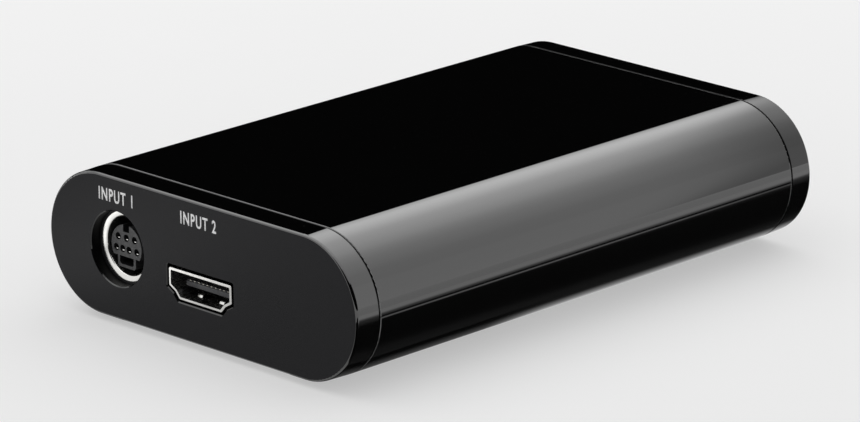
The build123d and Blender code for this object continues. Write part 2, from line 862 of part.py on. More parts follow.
for number, place in enumerate(memory_places, 1):
    nodes["memory_chip_%d" % number] = chip(place, memory_length, memory_width, memory_thickness)
for number, place in enumerate(crystal_places, 1):
    nodes["clock_crystal_%d" % number] = crystal(place)
for number, place in enumerate(supply_places, 1):
    nodes["power_inductor_%d" % number] = inductor(place)
    nodes["power_regulator_%d" % number] = regulator(place)
for number, place in enumerate(capacitor_places, 1):
    nodes["can_capacitor_%d" % number] = capacitor(place)

fringed_places = (encoder_place, receiver_place, transmitter_place, decoder_place)
fringed_sizes = (encoder_size, receiver_size, transmitter_size, decoder_size)
nodes["ceramic_capacitors"] = small_parts(fringed_places, fringed_sizes, 1)
nodes["chip_resistors"] = small_parts(fringed_places, fringed_sizes, -1)

for name, shape in nodes.items():
    export_step(shape, "parts/%s.step" % name)
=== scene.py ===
import math

import bmesh
import bpy
from bpy.props import FloatProperty, FloatVectorProperty, PointerProperty, StringProperty
from mathutils import Matrix, Quaternion, Vector


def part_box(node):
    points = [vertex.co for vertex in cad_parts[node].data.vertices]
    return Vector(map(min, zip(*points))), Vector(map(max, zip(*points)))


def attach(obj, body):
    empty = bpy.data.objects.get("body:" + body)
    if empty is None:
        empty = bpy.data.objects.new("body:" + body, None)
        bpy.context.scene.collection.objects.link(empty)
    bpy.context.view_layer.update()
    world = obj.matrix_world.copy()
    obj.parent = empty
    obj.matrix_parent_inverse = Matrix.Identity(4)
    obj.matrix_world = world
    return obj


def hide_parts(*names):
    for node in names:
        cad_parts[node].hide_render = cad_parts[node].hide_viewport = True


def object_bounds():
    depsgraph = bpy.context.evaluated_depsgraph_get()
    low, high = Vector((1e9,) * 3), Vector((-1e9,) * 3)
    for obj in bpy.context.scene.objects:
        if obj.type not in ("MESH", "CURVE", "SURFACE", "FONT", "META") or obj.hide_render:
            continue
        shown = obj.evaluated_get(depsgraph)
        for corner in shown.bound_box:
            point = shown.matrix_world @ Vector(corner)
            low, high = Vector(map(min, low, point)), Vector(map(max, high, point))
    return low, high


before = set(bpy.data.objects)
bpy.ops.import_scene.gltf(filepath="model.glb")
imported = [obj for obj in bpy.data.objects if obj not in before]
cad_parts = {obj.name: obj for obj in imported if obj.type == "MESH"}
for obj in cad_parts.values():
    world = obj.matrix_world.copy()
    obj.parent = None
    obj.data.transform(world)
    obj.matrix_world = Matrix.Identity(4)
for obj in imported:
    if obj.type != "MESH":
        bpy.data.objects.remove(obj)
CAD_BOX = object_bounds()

bl_info = {
    "name": "Video capture box",
    "version": (1, 0, 0),
    "blender": (4, 5, 0),
    "location": "3D View > Sidebar > Capture box",
    "description": "Finishes, printed labels and sprung metal parts of a video capture box",
    "category": "Object",
}

# Lengths are in metres. MM turns a size in millimetres into metres.
MM = 0.001


def middle(node, axis):
    """The middle of a node's box along one axis: 0, 1 or 2."""
    low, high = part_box(node)
    return (low[axis] + high[axis]) / 2


# Where the box's own parts are, read from the frame
FACE_FRONT_Y = CAD_BOX[0].y
FACE_REAR_Y = CAD_BOX[1].y
BOX_MIDDLE_Z = middle("front_end_cap", 2)
ROUND_SOCKET_X = middle("av_socket_shield", 0)
DATA_SOCKET_X = middle("data_socket_shell", 0)
SKIN_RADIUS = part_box("upper_shell")[1].z - BOX_MIDDLE_Z
FLAT_HALF_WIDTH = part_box("upper_shell")[1].x - SKIN_RADIUS
SHELL_HALF_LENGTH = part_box("upper_shell")[1].y

# Points and faces closer than this lie in one place
SAME = 0.001 * MM
CIRCLE_STEPS = 96
SHIELD_STEPS = 128
# The round socket: its contacts, in millimetres from its middle, its tube and its contact leaves
UPPER_CONTACTS = (-2, 0, 2)
UPPER_CONTACTS_RISE = 1.4
LOWER_CONTACTS = (-2.5, -0.95, 0.6, 2.5)
LOWER_CONTACTS_RISE = -0.6
HOLE_RADIUS = 0.5 * MM
HOLE_SLACK = 0.02 * MM
TUBE_RADIUS = 4.85 * MM
LEAF_SIZE = (0.5 * MM, 0.7 * MM, 0.2 * MM)
LEAF_LEAN = math.radians(-20)
LEAF_BACK = 0.38 * MM
LEAF_DROP = 0.4 * MM
LEAF_EDGE = 0.09 * MM
# The flat sockets: the tongue, how far a mouth's lip stands out, and a spring finger's bends, each as
# its share of the reach and of the rise
TONGUE_WIDTH = 10.6 * MM
TONGUE_THICKNESS = 1.0 * MM
NOSE_EDGE = 0.05 * MM
LIP_PROUD = 0.01 * MM
FINGER_BENDS = ((0, 0), (0.37, 0.05), (0.46, 1), (0.72, 1), (1, 0.55))
# Height of the capitals in Blender's own font at size 1, and what counts as one point in it
CAPITALS_HEIGHT = 0.73
SAME_IN_FONT = 1e-5

# The part of a noise's range that a mottled pattern uses
NOISE_SPREAD = (0.3, 0.7)
# The case: the size of its rounded edges and chamfers, the caps' draft, and how deep each finish goes
SEAM_EDGE = 0.26 * MM
RIM_RADIUS = 0.5 * MM
CHAMFER = 0.2 * MM
CAP_DRAFT = 0.03
SKIN_DEPTH = 0.2 * MM
RING_DEPTH = 1.5 * MM
# The pale line on the seams' rounded edges at the caps is a painted highlight; this is how far in from the
# skin it reaches
EDGE_HIGHLIGHT_DEPTH = 0.045 * MM
FACE_DEPTH = 0.02 * MM
GLOSS_COAT = {"ior": 1.5, "coat_roughness": 0.02, "coat_ior": 1.6}
CAP_COAT = {"ior": 1.5, "specular_ior_level": 0.12, "coat_roughness": 0.02, "coat_ior": 1.88}
SEAM_COAT = 0.2
EDGE_HIGHLIGHT_COAT = 0.03
CHAMFER_COAT = 0.5
EDGE_HIGHLIGHT_ROUGHNESS = 0.5
RING_ROUGHNESS = 0.03
FACE_ROUGHNESS = (0.32, 0.48)
FACE_RELIEF_MM = 0.014

# The camera: how far its picture is shifted, as shares of its width, and the depth that it sees
CAMERA_SHIFT = (-0.00648, -0.0106)
SENSOR_WIDTH = 36
CLIP_NEAR, CLIP_FAR = 0.05, 20

# The studio, in metres: what the gloss of the side mirrors, from its top edge down. The flag beside the
# softbox is a painted black reflection.
SOFTBOX_CORNERS = ((-0.875, -0.6), (1.2, -0.6), (1.2, 1.775), (-1.2275, 1.775), (-0.875, 0.6))
FLAG_CORNERS = ((-0.875, 0.6), (-1.2275, 1.775), (-1.45, 2.2), (-1.85, 2.15), (-2.3, 1.6), (-1.4, 0.5))
SOFTBOX_LEVELS = (
    (-1.1, 0.3), (-0.98, 0.422), (-0.9, 0.55), (-0.84, 0.601), (-0.78, 0.664), (-0.72, 0.728),
    (-0.67, 0.777), (-0.6, 0.827), (-0.54, 0.855), (-0.43, 0.883), (-0.33, 0.87), (-0.2, 0.8),
    (-0.04, 0.797), (0.085, 0.744), (0.21, 0.619), (0.34, 0.539), (0.5, 0.494), (0.7, 0.441), (1.2, 0.43),
)
# Sheets on the floor, in millimetres, that only mirror-like surfaces see. The felt's grey is painted shade
# of the floor near the box, fading into pale: it runs from its near edge to its far one, and these edges
# run slightly aslant, about a middle along the box.
FELT_PAINTED_SHADE_LEVELS = (
    (33.4, 0.02), (34.7, 0.015), (36, 0.008), (39, 0.005), (57, 0.01), (60, 0.05), (62.8, 0.08),
    (65.5, 0.11), (69, 0.15), (72.9, 0.33), (77.4, 0.77), (82, 0.93), (100, 0.95),
)
FELT_NEAR = FELT_PAINTED_SHADE_LEVELS[0][0] * MM
FELT_FAR = FELT_PAINTED_SHADE_LEVELS[-1][0] * MM
FELT_LENGTH = (-60 * MM, 130 * MM)
FELT_SLANT = 0.035
FELT_MIDDLE_Y = 40 * MM
# The reflector's grey, painted shade from the box, from under the box outwards and from its front to its rear
REFLECTOR_INNER = 20 * MM
REFLECTOR_ACROSS = (28 * MM, FELT_NEAR)
REFLECTOR_PAINTED_SHADE_ACROSS = (
    (0, 0.5), (0.11, 0.41), (0.26, 0.31), (0.41, 0.27), (0.56, 0.15), (0.72, 0.03), (1, 0.02),
)
REFLECTOR_ALONG = (-45 * MM, 55 * MM)
REFLECTOR_PAINTED_SHADE_ALONG = ((0, 0.15), (0.28, 0.18), (0.42, 0.7), (0.52, 0.8), (0.75, 0.88), (1, 1))
# Painted black reflections: beyond the far long side the mirror-like skin shows only black, so that its
# outline stays crisp, and the sockets' rims mirror two black patches of painted shade before the face
PAINTED_BLACK_PATCHES = (((-950, -33.4), (-60, 950)), ((25, 110), (-96, -56)), ((-45, 25), (-63, -55.2)))
# A painted pool of light before the face, seen only in gloss: its level by distance from its middle, in mm
PAINTED_LIGHT_LEVELS = ((0, 1.9), (14, 1.75), (24, 1.1), (34, 0.7), (60, 0.65), (90, 0.65))
PAINTED_LIGHT_MIDDLE = (-54 * MM, -86 * MM)
SHEET_HEIGHT, PAINTED_BLACK_HEIGHT, GLOW_HEIGHT = 0.2 * MM, 0.25 * MM, 0.3 * MM
# The net paints shade into what the far end mirrors. It thins out between two distances from its middle,
# which lies under the net's own
NET_PAINTED_SHADE_DENSITY = ((0, 0.5), (0.2, 0.5), (0.4, 0.36), (0.6, 0.14), (0.8, 0.03), (1, 0))
NET_RADII = (0.612, 0.75)
NET_SQUEEZE = 1.383
NET_DROP = 0.21
NET_MIDDLE_X = 46 * MM
NET_SIZE = 0.57
# The dark wall, a painted black reflection, stands 1 m away, between these degrees, open at the back right
# and the front left
WALL_SPAN = (268, 385)
TALL_WALL_SPAN = (62, 178)
TALL_WALL_HEIGHT = 1.2
WALL_STEPS = 90
# The rays that don't see what stands there for the mirror-like skin alone
MIRRORED_ONLY = ("camera", "diffuse", "transmission", "volume_scatter", "shadow")
# The floor turns from lit paper to plain white between two distances, as these shares of white
FLOOR_FADE = (0.1, 0.7)
FLOOR_WHITE = (0.45, 1.0)


def linear(code):
    """The linear colour of an sRGB hex code such as #1a1a1a."""
    shares = [int(code[i:i + 2], 16) / 255 for i in (1, 3, 5)]
    return [s / 12.92 if s <= 0.04045 else ((s + 0.055) / 1.055) ** 2.4 for s in shares]


def colour(name, code, about):
    """A colour setting whose default is an sRGB hex code."""
    return FloatVectorProperty(
        name=name, description=about, subtype="COLOR", size=3, min=0, max=1, default=linear(code)
    )


def length(name, millimetres, about):
    """A length setting, in metres."""
    return FloatProperty(
        name=name, description=about, default=millimetres * MM, min=0, unit="LENGTH", subtype="DISTANCE"
    )


def share(name, value, about):
    """A setting between nothing and one."""
    return FloatProperty(name=name, description=about, default=value, min=0, max=1, subtype="FACTOR")


def amount(name, value, about, least=0):
    """A plain number."""
    return FloatProperty(name=name, description=about, default=value, min=least)


def angle(name, degrees, about):
    """An angle setting."""
    return FloatProperty(name=name, description=about, default=math.radians(degrees), subtype="ANGLE")


def word(name, text, about):
    """A word to print."""
    return StringProperty(name=name, description=about, default=text)


class CaseSettings(bpy.types.PropertyGroup):
    """Colours and finish of the case"""

    gloss_colour: colour("Gloss colour", "#040404", "Colour of the polished shells and cap rings")
    # A painted highlight: pale grey on the shells' rounded edges at the end caps
    edge_highlight_colour: colour("Seam edges", "#747474", "Colour of the shells' scuffed edges at the end caps")
    face_colour: colour("Face colour", "#1b1b1d", "Colour of the matt end faces")
    face_grain: length("Face grain", 0.22, "Spacing of the fine grain on the matt end faces")
    foot_colour: colour("Foot colour", "#19191a", "Colour of the rubber feet")


class SocketSettings(bpy.types.PropertyGroup):
    """Colours and sizes of the sockets"""

    metal_colour: colour("Plated metal", "#e4e3e0", "Colour of the nickel-plated socket shells")
    contact_colour: colour("Contacts", "#bdb9b0", "Colour of the gold-plated contacts")
    plastic_colour: colour("Insulators", "#141416", "Colour of the round socket's insulators")
    tongue_colour: colour("Tongues", "#2c2c30", "Colour of the flat sockets' insulators")
    lip_sheet: length("Lip sheet", 0.3, "Thickness of the round shield's sheet metal")
    lip_depth: length("Lip depth", 0.7, "Depth of the round shield's rolled front lip")
    lip_edge: length("Lip edge", 0.12, "Rounding of the round shield's front lip")
    throat_edge: length("Throat edge", 0.12, "Rounding where the lip runs into the tube")
    lip_width: length("Lip width", 0.92, "Width of the round shield's front lip")
    lip_flare: length("Lip flare", 0.3, "How far the lip's inner edge lies behind its outer one")
    hole_mouth: amount("Hole mouth", 1.26, "How much wider than the hole each contact hole starts", 1)
    leaf_setback: length("Leaf setback", 0.1, "How far each contact's leaf ends behind its hole's mouth")
    mouth_lip: length("Mouth lip", 0.18, "Width of the lead-in lip round a video socket's mouth")
    mouth_lip_depth: length("Mouth lip depth", 0.35, "Depth of the lead-in lip")
    nose_depth: length("Nose depth", 0.2, "How far the moulded nose stands in front of the contacts' tips")
    nose_drop: length("Nose drop", 0.17, "How far the nose stays under the tongue's contact side")
    finger_sheet: length("Finger sheet", 0.2, "Thickness of the spring fingers")
    finger_bend: length("Finger bend", 0.12, "Length over which a spring finger bends")
    finger_edge: length("Finger edge", 0.04, "Rounding of a spring finger's stamped edges")


class LabelSettings(bpy.types.PropertyGroup):
    """The printed labels over the sockets"""

    first_input: word("Round socket", "INPUT 1", "Word over the round socket")
    second_input: word("Video socket", "INPUT 2", "Word over the video socket")
    output: word("Video output", "OUTPUT", "Word over the output socket")
    data: word("Data socket", "DATA", "Word over the data socket")
    letter_height: length("Letter height", 2.25, "Height of the capitals")
    condense: share("Condense", 0.68, "Width of the letters as a share of the font's own")
    boldness: length("Boldness", 0.07, "How much the strokes of the letters are thickened on each side")
    spacing: amount("Spacing", 1.2, "Spacing of the letters over the font's own")
    height: length("Height", 9.05, "Height of the letters' middle over the middle of the face")
    ink: length("Ink", 0.012, "Thickness of the printed ink")
    ink_colour: colour("Ink colour", "#fefefe", "Colour of the printed ink")


class BoardSettings(bpy.types.PropertyGroup):
    """Colours of the circuit board and the parts on it"""

    mask_colour: colour("Solder mask", "#123a26", "Colour of the board's lacquer")
    chip_colour: colour("Chips", "#1d1d1f", "Colour of the chips' moulded bodies")
    ferrite_colour: colour("Ferrite", "#2c2b2c", "Colour of the inductors")
    ceramic_colour: colour("Ceramic", "#9a7b5a", "Colour of the small ceramic capacitors")
    resistor_colour: colour("Resistors", "#232326", "Colour of the small chip resistors")


class StudioSettings(bpy.types.PropertyGroup):
    """Camera, floor and lights"""

    azimuth: angle("Azimuth", 44.84, "Camera direction round the box")
    elevation: angle("Elevation", 17.41, "Camera height over the horizon")
    tilt: angle("Tilt", -0.4485, "How far the camera leans to its left")
    distance: length("Distance", 920.4, "From the camera to the box's middle")
    lens: FloatProperty(name="Lens", description="Focal length in millimetres", default=225.84, unit="CAMERA")
    floor_colour: colour("Floor", "#f4f4f4", "Colour of the paper floor")
    floor_radius: length("Floor radius", 6000, "How far the floor reaches")
    sky_level: amount("Sky", 0.5, "How strongly the white room lights the box")
    softbox_level: amount("Softbox", 0.95, "How strongly the softbox lights the box")
    softbox_gloss: amount("Softbox in gloss", 2.2, "Brightness of the softbox where it is mirrored")
    card_height: length("Card height", 700, "Height of the softbox and the flag beside it")
    wall_height: length("Dark wall", 325, "Height of the dark wall round the set")
    net_distance: length("Net distance", 500, "How far behind the box the round net hangs")


def add_node(tree, kind, values=()):
    """Add one shader node. Each value is a setting of it, or a number or a socket for one of its inputs."""
    node = tree.nodes.new("ShaderNode" + kind)
    for name, value in dict(values).items():
        if isinstance(value, bpy.types.NodeSocket):
            tree.links.new(value, node.inputs[name])
        elif isinstance(name, str) and hasattr(node, name):
            setattr(node, name, value)
        else:
            node.inputs[name].default_value = value
    return node


def maths(operation, *terms, kind="Math"):
    """One step of arithmetic. Each term is a number or a socket, or a vector if kind is VectorMath."""
    tree = next(term.id_data for term in terms if isinstance(term, bpy.types.NodeSocket))
    return add_node(tree, kind, {"operation": operation, **dict(enumerate(terms))}).outputs[0]


def size_of(vector):
    """How long a vector is."""
    return add_node(vector.id_data, "VectorMath", {"operation": "LENGTH", 0: vector}).outputs["Value"]


def map_range(value, given, wanted=(0, 1)):
    """Carry a value from one range to another, and hold it at the ends."""
    ends = dict(zip(("From Min", "From Max", "To Min", "To Max"), (*given, *wanted)))
    return add_node(value.id_data, "MapRange", {"Value": value, **ends}).outputs["Result"]


def blend(factor, first, second, kind="FLOAT"):
    """A number, a VECTOR or an RGBA colour that runs from the first to the second."""
    place, output = {"FLOAT": (2, 0), "VECTOR": (4, 1), "RGBA": (6, 2)}[kind]
    values = {"data_type": kind, 0: factor, place: first, place + 1: second}
    return add_node(factor.id_data, "Mix", values).outputs[output]


def object_place(tree):
    """The place on the object, in metres."""
    return add_node(tree, "TexCoord").outputs["Object"]


def object_axes(tree):
    """The same as three numbers."""
    return add_node(tree, "SeparateXYZ", {0: object_place(tree)}).outputs


def own_facing(tree):
    """The facing of the mesh itself."""
    return add_node(tree, "NewGeometry").outputs["Normal"]


def mottle(tree, grain, low=0, high=1, detail=2.0, stretch=(1, 1, 1)):
    """Soft random variation over the object, between two values. grain is its spacing in millimetres."""
    drawn = add_node(tree, "Mapping", {"Vector": object_place(tree), "Scale": stretch})
    pattern = {"Vector": drawn.outputs["Vector"], "Scale": 1 / (grain * MM), "Detail": detail}
    return map_range(add_node(tree, "TexNoise", pattern).outputs["Fac"], NOISE_SPREAD, (low, high))


def shader_input(shader, name):
    """A shader's input, by its name in small letters."""
    return shader.inputs[name.replace("_", " ").title().replace("Ior", "IOR")]


def start_material(name, base, **values):
    """A node material with the given constant values on its shader's own sockets."""
    material = bpy.data.materials.new(name)
    material.use_nodes = True
    shader = material.node_tree.nodes["Principled BSDF"]
    for socket, value in {"base_color": (*base, 1), **values}.items():
        shader_input(shader, socket).default_value = value
    return material, material.node_tree, shader


def feed(shader, **sources):
    """Link a shader's inputs to what drives them."""
    for socket, source in sources.items():
        shader.id_data.links.new(source, shader_input(shader, socket))


def tint(shader, factor, first, second):
    """Let the shader's base colour run between two colours."""
    feed(shader, base_color=blend(factor, (*first, 1), (*second, 1), "RGBA"))


def relief(height, depth):
    """The facing of a surface that a pattern raises. depth is how far, in millimetres."""
    return add_node(height.id_data, "Bump", {"Height": height, "Distance": depth * MM}).outputs["Normal"]


def shade(base, factor):
    """A colour made lighter or darker."""
    return [min(channel * factor, 1) for channel in base]


def outer_skin(tree, ends, draft):
    """The case's skin between two distances from its middle: where it is, its true facing, along and out."""
    x, y, z = object_axes(tree)
    flat = add_node(tree, "Clamp", {"Value": x, "Min": -FLAT_HALF_WIDTH, "Max": FLAT_HALF_WIDTH})
    side = maths("SUBTRACT", x, flat.outputs[0])
    rise = maths("SUBTRACT", z, BOX_MIDDLE_Z)
    lean = maths("MULTIPLY", maths("SIGN", y), draft * SKIN_RADIUS)
    outward = add_node(tree, "CombineXYZ", {"X": side, "Y": lean, "Z": rise}).outputs[0]
    facing = maths("NORMALIZE", outward, kind="VectorMath")
    reach = size_of(outward)
    along = maths("ABSOLUTE", y)
    tests = [
        ("GREATER_THAN", reach, SKIN_RADIUS - SKIN_DEPTH),
        ("GREATER_THAN", along, ends[0]),
        ("LESS_THAN", along, ends[1]),
    ]
    if not draft:
        tests.append(("GREATER_THAN", maths("ABSOLUTE", rise), SEAM_EDGE))
    inside = maths(*tests[0])
    for test in tests[1:]:
        inside = maths("MULTIPLY", inside, maths(*test))
    return inside, facing, along, reach


def face_truly(shader, inside, facing, plain):
    """Let the case's round skin mirror as the true round does and not as its flat facets would."""
    true_facing = blend(inside, plain, facing, "VECTOR")
    feed(shader, normal=true_facing, coat_normal=true_facing)


def polished_black_abs(settings):
    """Acrylic-faced ABS, injection moulded in a polished tool: deep black under a mirror-like skin."""
    material, tree, shader = start_material("polished_black_abs", settings.gloss_colour, **GLOSS_COAT)
    skin, facing, along, reach = outer_skin(tree, (0, SHELL_HALF_LENGTH - SEAM_EDGE), 0)
    face_truly(shader, skin, facing, own_facing(tree))
    # The seams' rounded edges shine less than the skin, and those at the caps carry a painted highlight, a
    # pale grey line on their outermost round
    near_end = maths("GREATER_THAN", along, SHELL_HALF_LENGTH - SEAM_EDGE)
    outermost = maths("GREATER_THAN", reach, SKIN_RADIUS - EDGE_HIGHLIGHT_DEPTH)
    highlighted = maths("MULTIPLY", near_end, outermost)
    coat = blend(skin, map_range(highlighted, (0, 1), (SEAM_COAT, EDGE_HIGHLIGHT_COAT)), 1.0)
    # The roughness barely drifts, as the skin does over ribs and posts
    rough = blend(highlighted, mottle(tree, 18, 0.02, 0.05), EDGE_HIGHLIGHT_ROUGHNESS)
    feed(shader, coat_weight=coat, roughness=rough)
    tint(shader, highlighted, settings.gloss_colour, settings.edge_highlight_colour)
    return material


def textured_black_abs(settings):
    """The same ABS, polished on the cap's ring, and matt from a spark-eroded tool on its face and bores."""
    material, tree, shader = start_material("textured_black_abs", settings.gloss_colour, **CAP_COAT)
    ring = (SHELL_HALF_LENGTH + SEAM_EDGE, FACE_REAR_Y - RIM_RADIUS)
    skin, facing, along, reach = outer_skin(tree, ring, CAP_DRAFT)
    before_face = maths("LESS_THAN", along, FACE_REAR_Y - FACE_DEPTH)
    rim = maths("MULTIPLY", before_face, maths("GREATER_THAN", reach, SKIN_RADIUS - RING_DEPTH))
    rim = maths("MULTIPLY", rim, maths("GREATER_THAN", along, ring[0]))
    # The chamfers of the mouth and the cut-outs are half as glossy as the ring
    chamfers = maths("MULTIPLY", before_face, maths("GREATER_THAN", along, FACE_REAR_Y - CHAMFER))
    coat = maths("MAXIMUM", rim, maths("MULTIPLY", chamfers, CHAMFER_COAT))
    grain = mottle(tree, settings.face_grain / MM, detail=3)
    matt = map_range(grain, (0, 1), FACE_ROUGHNESS)
    feed(shader, coat_weight=coat, roughness=blend(coat, matt, RING_ROUGHNESS))
    tint(shader, before_face, settings.face_colour, settings.gloss_colour)
    plain = blend(before_face, relief(grain, FACE_RELIEF_MM), own_facing(tree), "VECTOR")
    face_truly(shader, skin, facing, plain)
    return material


def mottled(name, base, roughness, patch, other, stretch=(1, 1, 1), **values):
    """A finish that drifts. roughness is a grain and two values, patch the tone's grain, other its end."""
    material, tree, shader = start_material(name, base, **values)
    feed(shader, roughness=mottle(tree, *roughness, stretch=stretch))
    tint(shader, mottle(tree, patch), base, shade(base, other))
    return material


def metal(name, base, roughness, patch, other, stretch=(1, 1, 1)):
    """A metal whose roughness and tone drift."""
    return mottled(name, base, roughness, patch, other, stretch, metallic=1.0)


def grained(name, base, grain, detail, tones, roughness, depth, **values):
    """A solid whose grain shows between two tones and in a relief of the given depth."""
    material, tree, shader = start_material(name, base, **values)
    pattern = mottle(tree, grain, detail=detail)
    tint(shader, pattern, *[shade(base, tone) for tone in tones])
    feed(shader, roughness=mottle(tree, *roughness), normal=relief(pattern, depth))
    return material


def moulded_rubber(settings):
    """Natural rubber, pressed in a dull mould: soft black with a chalky bloom."""
    base = settings.foot_colour
    material, tree, shader = start_material("moulded_rubber", base, ior=1.52)
    tint(shader, mottle(tree, 1.5, detail=4), base, shade(base, 1.5))
    pores = relief(mottle(tree, 0.25), depth=0.02)
    feed(shader, roughness=mottle(tree, 0.8, 0.7, 0.85), normal=pores)
    return material


def nickel_plated_steel(settings):
    """Thin steel sheet, rolled and nickel plated: bright, with fine lines along the rolling."""
    # The rolling lines are drawn 0.12 mm apart, coarser than the real ones, so that they show
    base = settings.metal_colour
    material, tree, shader = start_material("nickel_plated_steel", base, metallic=1.0)
    lines = mottle(tree, 0.12, detail=1, stretch=(1, 0.08, 1))
    tint(shader, mottle(tree, 2), base, shade(base, 0.8))
    rough = map_range(lines, (0, 1), (0.12, 0.3))
    feed(shader, roughness=rough, normal=relief(lines, depth=0.004))
    return material


def rolled_nickel_rim(settings):
    """Deep-drawn brass with bright nickel on it: smooth and mirror-like, with a faint waviness."""
    return metal("rolled_nickel_rim", settings.metal_colour, roughness=(1.5, 0.1, 0.2), patch=2, other=0.93)


def gold_plated_brass(settings):
    """Brass, stamped and flashed with pale gold: soft warm shine with stamping marks."""
    base = settings.contact_colour
    return metal("gold_plated_brass", base, roughness=(0.3, 0.15, 0.35), patch=0.8, other=0.8)


def glass_filled_polyester(name, base):
    """Glass-filled polyester, moulded: dark grey with tiny pale fibre ends."""
    # The fibre ends are drawn 0.15 mm apart, coarser than the real ones, so that they show
    return grained(
        name, base, grain=0.15, detail=3, tones=(0.8, 1.5), roughness=(0.4, 0.38, 0.55),
        depth=0.004, ior=1.58,
    )


def zinc_plated_steel():
    """Steel screws, cold formed and zinc plated: grey-blue metal with a soft grain."""
    return metal("zinc_plated_steel", linear("#b4b8bd"), roughness=(0.3, 0.25, 0.45), patch=1, other=0.75)


def lacquered_glass_laminate(settings):
    """Glass-fibre laminate under green lacquer: satin, with copper tracks showing as paler lines."""
    base = settings.mask_colour
    material, tree, shader = start_material("lacquered_glass_laminate", base, ior=1.5)
    mortar = {"Mortar Size": 0.06, "Mortar Smooth": 0.1}
    pattern = {"Scale": 1 / (4 * MM), "Brick Width": 1.7, "Row Height": 0.35, **mortar}
    tracks = add_node(tree, "TexBrick", {"Vector": object_place(tree), **pattern}).outputs["Fac"]
    tint(shader, tracks, base, shade(base, 1.8))
    raised = relief(tracks, depth=0.03)
    feed(shader, roughness=mottle(tree, 1, 0.3, 0.42), normal=raised)
    return material


def moulded_epoxy(settings):
    """Silica-filled epoxy, transfer moulded: dull near-black with a fine sandy grain."""
    return grained(
        "moulded_epoxy", settings.chip_colour, grain=0.2, detail=3, tones=(1, 1.5),
        roughness=(0.5, 0.5, 0.65), depth=0.01, ior=1.55,
    )


def drawn_steel_lid():
    """Stainless lid of a crystal, deep drawn: bright grey with a faint brushed grain."""
    base = linear("#c2c3c2")
    return metal("drawn_steel_lid", base, (0.15, 0.22, 0.38), patch=1, other=0.85, stretch=(1, 0.1, 1))


def sintered_ferrite(settings):
    """Ferrite, pressed and sintered: dark grey, dry and pitted."""
    return grained(
        "sintered_ferrite", settings.ferrite_colour, grain=0.3, detail=4, tones=(0.8, 1.4),
        roughness=(0.6, 0.55, 0.75), depth=0.03, ior=2.0,
    )


def drawn_aluminium_can():
    """Aluminium can, drawn and clear coated: pale, with lines round the can."""
    base = linear("#cdced0")
    return metal("drawn_aluminium_can", base, (0.25, 0.2, 0.4), patch=1.5, other=0.85, stretch=(0.1, 0.1, 1))


def fired_ceramic(name, base):
    """Fired ceramic, ground flat: matt and slightly mottled."""
    return mottled(name, base, roughness=(0.3, 0.45, 0.6), patch=0.4, other=1.3, ior=1.7)


def printed_ink(settings):
    """White pad-printed ink: flat and slightly chalky, with thin spots."""
    base = settings.ink_colour
    material, tree, shader = start_material("printed_ink", base, ior=1.5)
    tint(shader, mottle(tree, 0.3, detail=3), shade(base, 0.88), base)
    feed(shader, roughness=mottle(tree, 0.3, 0.5, 0.65))
    return material


def nodes_with(*parts):
    """The CAD nodes that have one of some words in their name."""
    return sorted(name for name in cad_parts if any(part in name for part in parts))


def finish_nodes(material, *parts):
    """Give one material to the CAD nodes that have one of some words in their name."""
    for name in nodes_with(*parts):
        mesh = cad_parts[name].data
        mesh.materials.clear()
        mesh.materials.append(material)


def add_object(name, shape, material):
    """Make an object of a bmesh."""
    mesh = bpy.data.meshes.new(name)
    shape.to_mesh(mesh)
    shape.free()
    mesh.materials.append(material)
    thing = bpy.data.objects.new(name, mesh)
    bpy.context.scene.collection.objects.link(thing)
    return thing


def new_piece(name, shape, body, slot, material, *replaced):
    """Make a piece that rides on a body and stands for CAD nodes. Its slot is not used."""
    piece = add_object(name, shape, material)
    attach(piece, body)
    if replaced:
        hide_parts(*replaced)


def move(shape, x=0.0, y=0.0, z=0.0, verts=None):
    """Move a shape, or some of its points."""
    bmesh.ops.translate(shape, verts=verts or shape.verts[:], vec=(x, y, z))


def new_points(made):
    """The points among what an operator has made."""
    return [item for item in made["geom"] if isinstance(item, bmesh.types.BMVert)]


def round_edges(shape, edges, offset, segments):
    """Bevel edges to a round."""
    bmesh.ops.bevel(
        shape, geom=edges, offset=offset, offset_type="OFFSET",
        affect="EDGES", segments=segments, profile=0.5, material=-1,
    )


def smooth_by_angle(shape, degrees):
    """Smooth shading, with the edges sharper than an angle kept sharp."""
    for face in shape.faces:
        face.smooth = True
    for edge in shape.edges:
        edge.smooth = len(edge.link_faces) == 2 and edge.calc_face_angle() < math.radians(degrees)


def face_up(shape):
    """Turn every face of a flat or bent sheet to its upper side."""
    for face in shape.faces:
        if face.normal.z < 0:
            face.normal_flip()


def close_up(shape):
    """Merge doubled points and turn every face outwards."""
    bmesh.ops.remove_doubles(shape, verts=shape.verts[:], dist=SAME)
    bmesh.ops.recalc_face_normals(shape, faces=shape.faces[:])


def node_shape(node):
    """A copy of a CAD node's mesh, with its doubled points merged."""
    shape = bmesh.new()
    shape.from_mesh(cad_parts[node].data)
    bmesh.ops.remove_doubles(shape, verts=shape.verts[:], dist=SAME)
    return shape


def turned_shape(profile, steps):
    """A closed profile of radius and place, turned about an axis along Y."""
    shape = bmesh.new()
    points = [shape.verts.new((reach, y, 0)) for reach, y in profile]
    for first, second in zip(points, points[1:] + points[:1]):
        shape.edges.new((first, second))
    bmesh.ops.spin(
        shape, geom=shape.verts[:] + shape.edges[:], cent=(0, 0, 0), axis=(0, 1, 0),
        angle=math.tau, steps=steps, use_merge=True, use_duplicate=False,
    )
    close_up(shape)
    return shape


def round_rings(shape, y, offset, segments):
    """Round the sharp circles that lie at one place along a turned shape."""
    rings = [edge for edge in shape.edges if all(abs(vert.co.y - y) < SAME for vert in edge.verts)]
    sharp = [edge for edge in rings if edge.calc_face_angle(0) > math.radians(45)]
    round_edges(shape, sharp, offset, segments)


